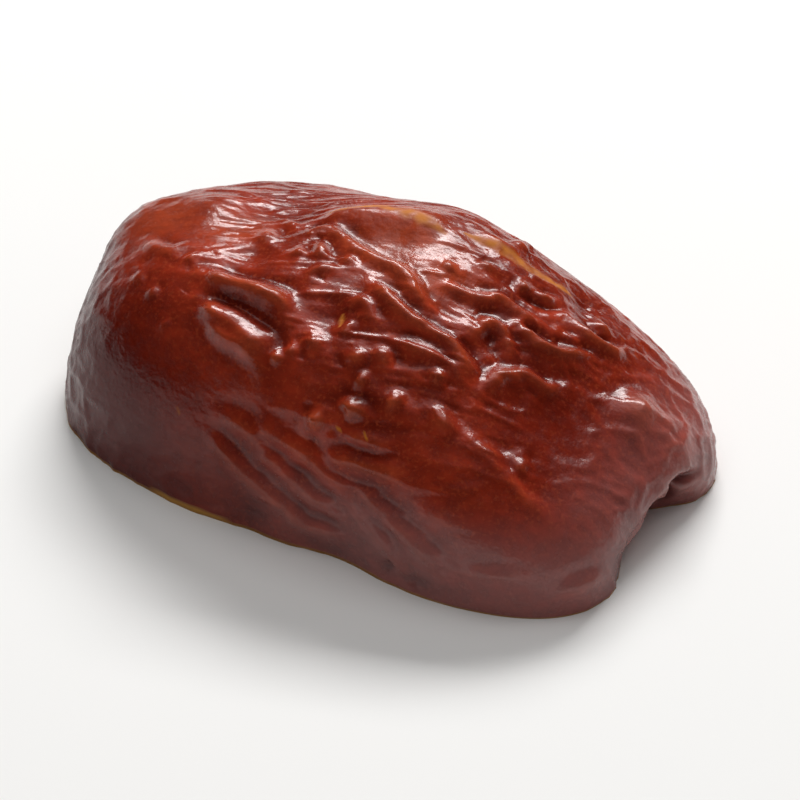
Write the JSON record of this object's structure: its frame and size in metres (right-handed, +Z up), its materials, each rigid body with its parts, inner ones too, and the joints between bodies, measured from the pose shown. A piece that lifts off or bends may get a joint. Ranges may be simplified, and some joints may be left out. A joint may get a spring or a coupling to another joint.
{
  "type": "dried jujube half",
  "caption": "Dried jujube half lying on its cut face: plump wrinkled skin over the back, a dimpled stem end and the hollow bed of the stone underneath.",
  "frame": {"origin": "middle of the bounding box on the cut face, where the half rests", "axes": "+X along the fruit to its stem end, +Y across it, +Z up from the cut face"},
  "size_m": [0.0376, 0.0228, 0.0134],
  "materials": {
    "jujube": "glossy wrinkled fruit skin, with pale dry flesh on the cut face"
  },
  "bodies": {
    "root": {"jujube_half": "jujube"}
  },
  "joints": []
}
